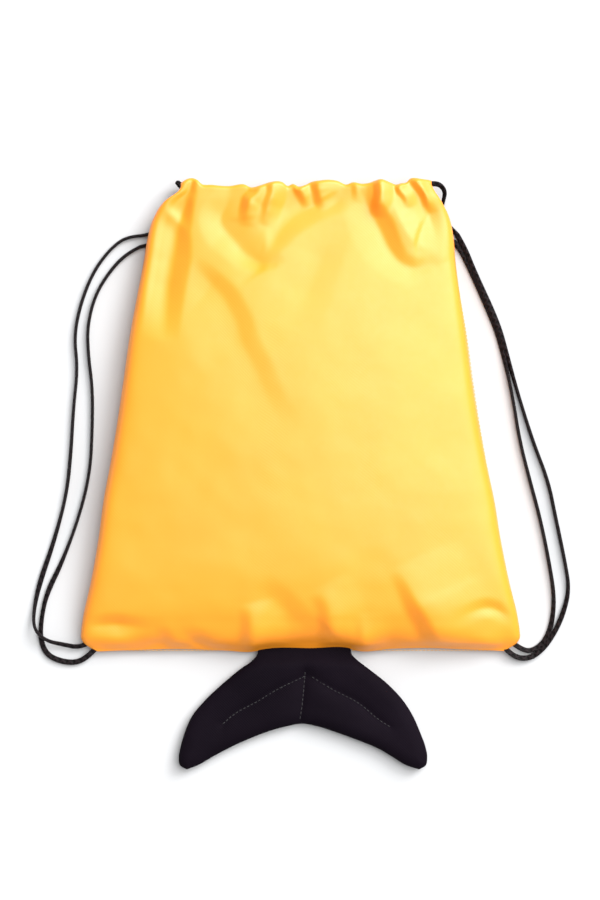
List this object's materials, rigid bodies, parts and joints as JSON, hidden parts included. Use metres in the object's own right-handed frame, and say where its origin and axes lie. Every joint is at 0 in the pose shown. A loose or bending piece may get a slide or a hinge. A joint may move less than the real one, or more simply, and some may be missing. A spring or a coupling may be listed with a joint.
{
  "type": "drawstring backpack",
  "caption": "Flat drawstring backpack with a gathered mouth, cord shoulder straps sewn into cut-off bottom corners, and a padded fluke-shaped tail.",
  "frame": {"origin": "middle of the footprint of the bag with its tail, on the surface the bag lies on", "axes": "+X across the bag to its right as seen from the front, +Y from the tail to the mouth, +Z out of the front panel, upwards as it lies on its back"},
  "size_m": [0.4432, 0.4801, 0.046],
  "materials": {
    "bag_fabric": "woven, soft sheen",
    "bag_thread": "matt",
    "tail_fabric": "woven, matt",
    "tail_thread": "matt",
    "padding": "matt",
    "cord": "braided, soft sheen"
  },
  "bodies": {
    "bag": {"back_panel": "bag_fabric", "back_casing": "bag_fabric", "back_casing_stitching": "bag_thread", "left_side_seam_stitching": "bag_thread", "right_side_seam_stitching": "bag_thread", "bottom_seam_stitching": "bag_thread", "left_cord_sewn_ends": "cord", "right_cord_sewn_ends": "cord", "left_cord_back_run": "cord", "right_cord_back_run": "cord", "left_cord_back_lead": "cord", "right_cord_back_lead": "cord", "left_cord_front_lead": "cord", "right_cord_front_lead": "cord"},
    "front": {"front_panel": "bag_fabric", "front_casing": "bag_fabric", "front_casing_stitching": "bag_thread", "left_cord_front_run": "cord", "right_cord_front_run": "cord"},
    "tail": {"tail_top_fabric": "tail_fabric", "tail_bottom_fabric": "tail_fabric", "tail_padding": "padding", "tail_left_quilting": "tail_thread", "tail_centre_quilting": "tail_thread", "tail_right_quilting": "tail_thread"},
    "left_strap": {"left_cord_outer_strand": "cord", "left_cord_inner_strand": "cord"},
    "right_strap": {"right_cord_inner_strand": "cord", "right_cord_outer_strand": "cord"}
  },
  "joints": [
    {"name": "mouth_open", "type": "hinge", "parent": "bag", "child": "front", "pos_m": [0, -0.1435, 0.0065], "axis": [1, 0, 0], "range_deg": [0, 10]},
    {"name": "tail_swing", "type": "hinge", "parent": "bag", "child": "tail", "pos_m": [0, -0.1446, 0.0065], "axis": [-1, 0, 0], "range_deg": [0, 80]},
    {"name": "left_strap_swing", "type": "hinge", "parent": "bag", "child": "left_strap", "pos_m": [-0.1745, -0.144, 0.0065], "axis": [0.1385, 0.9903, -0.0131], "range_deg": [0, 60]},
    {"name": "right_strap_swing", "type": "hinge", "parent": "bag", "child": "right_strap", "pos_m": [0.124, 0.1955, 0.002], "axis": [0.1394, -0.9901, 0.0131], "range_deg": [0, 60]}
  ]
}
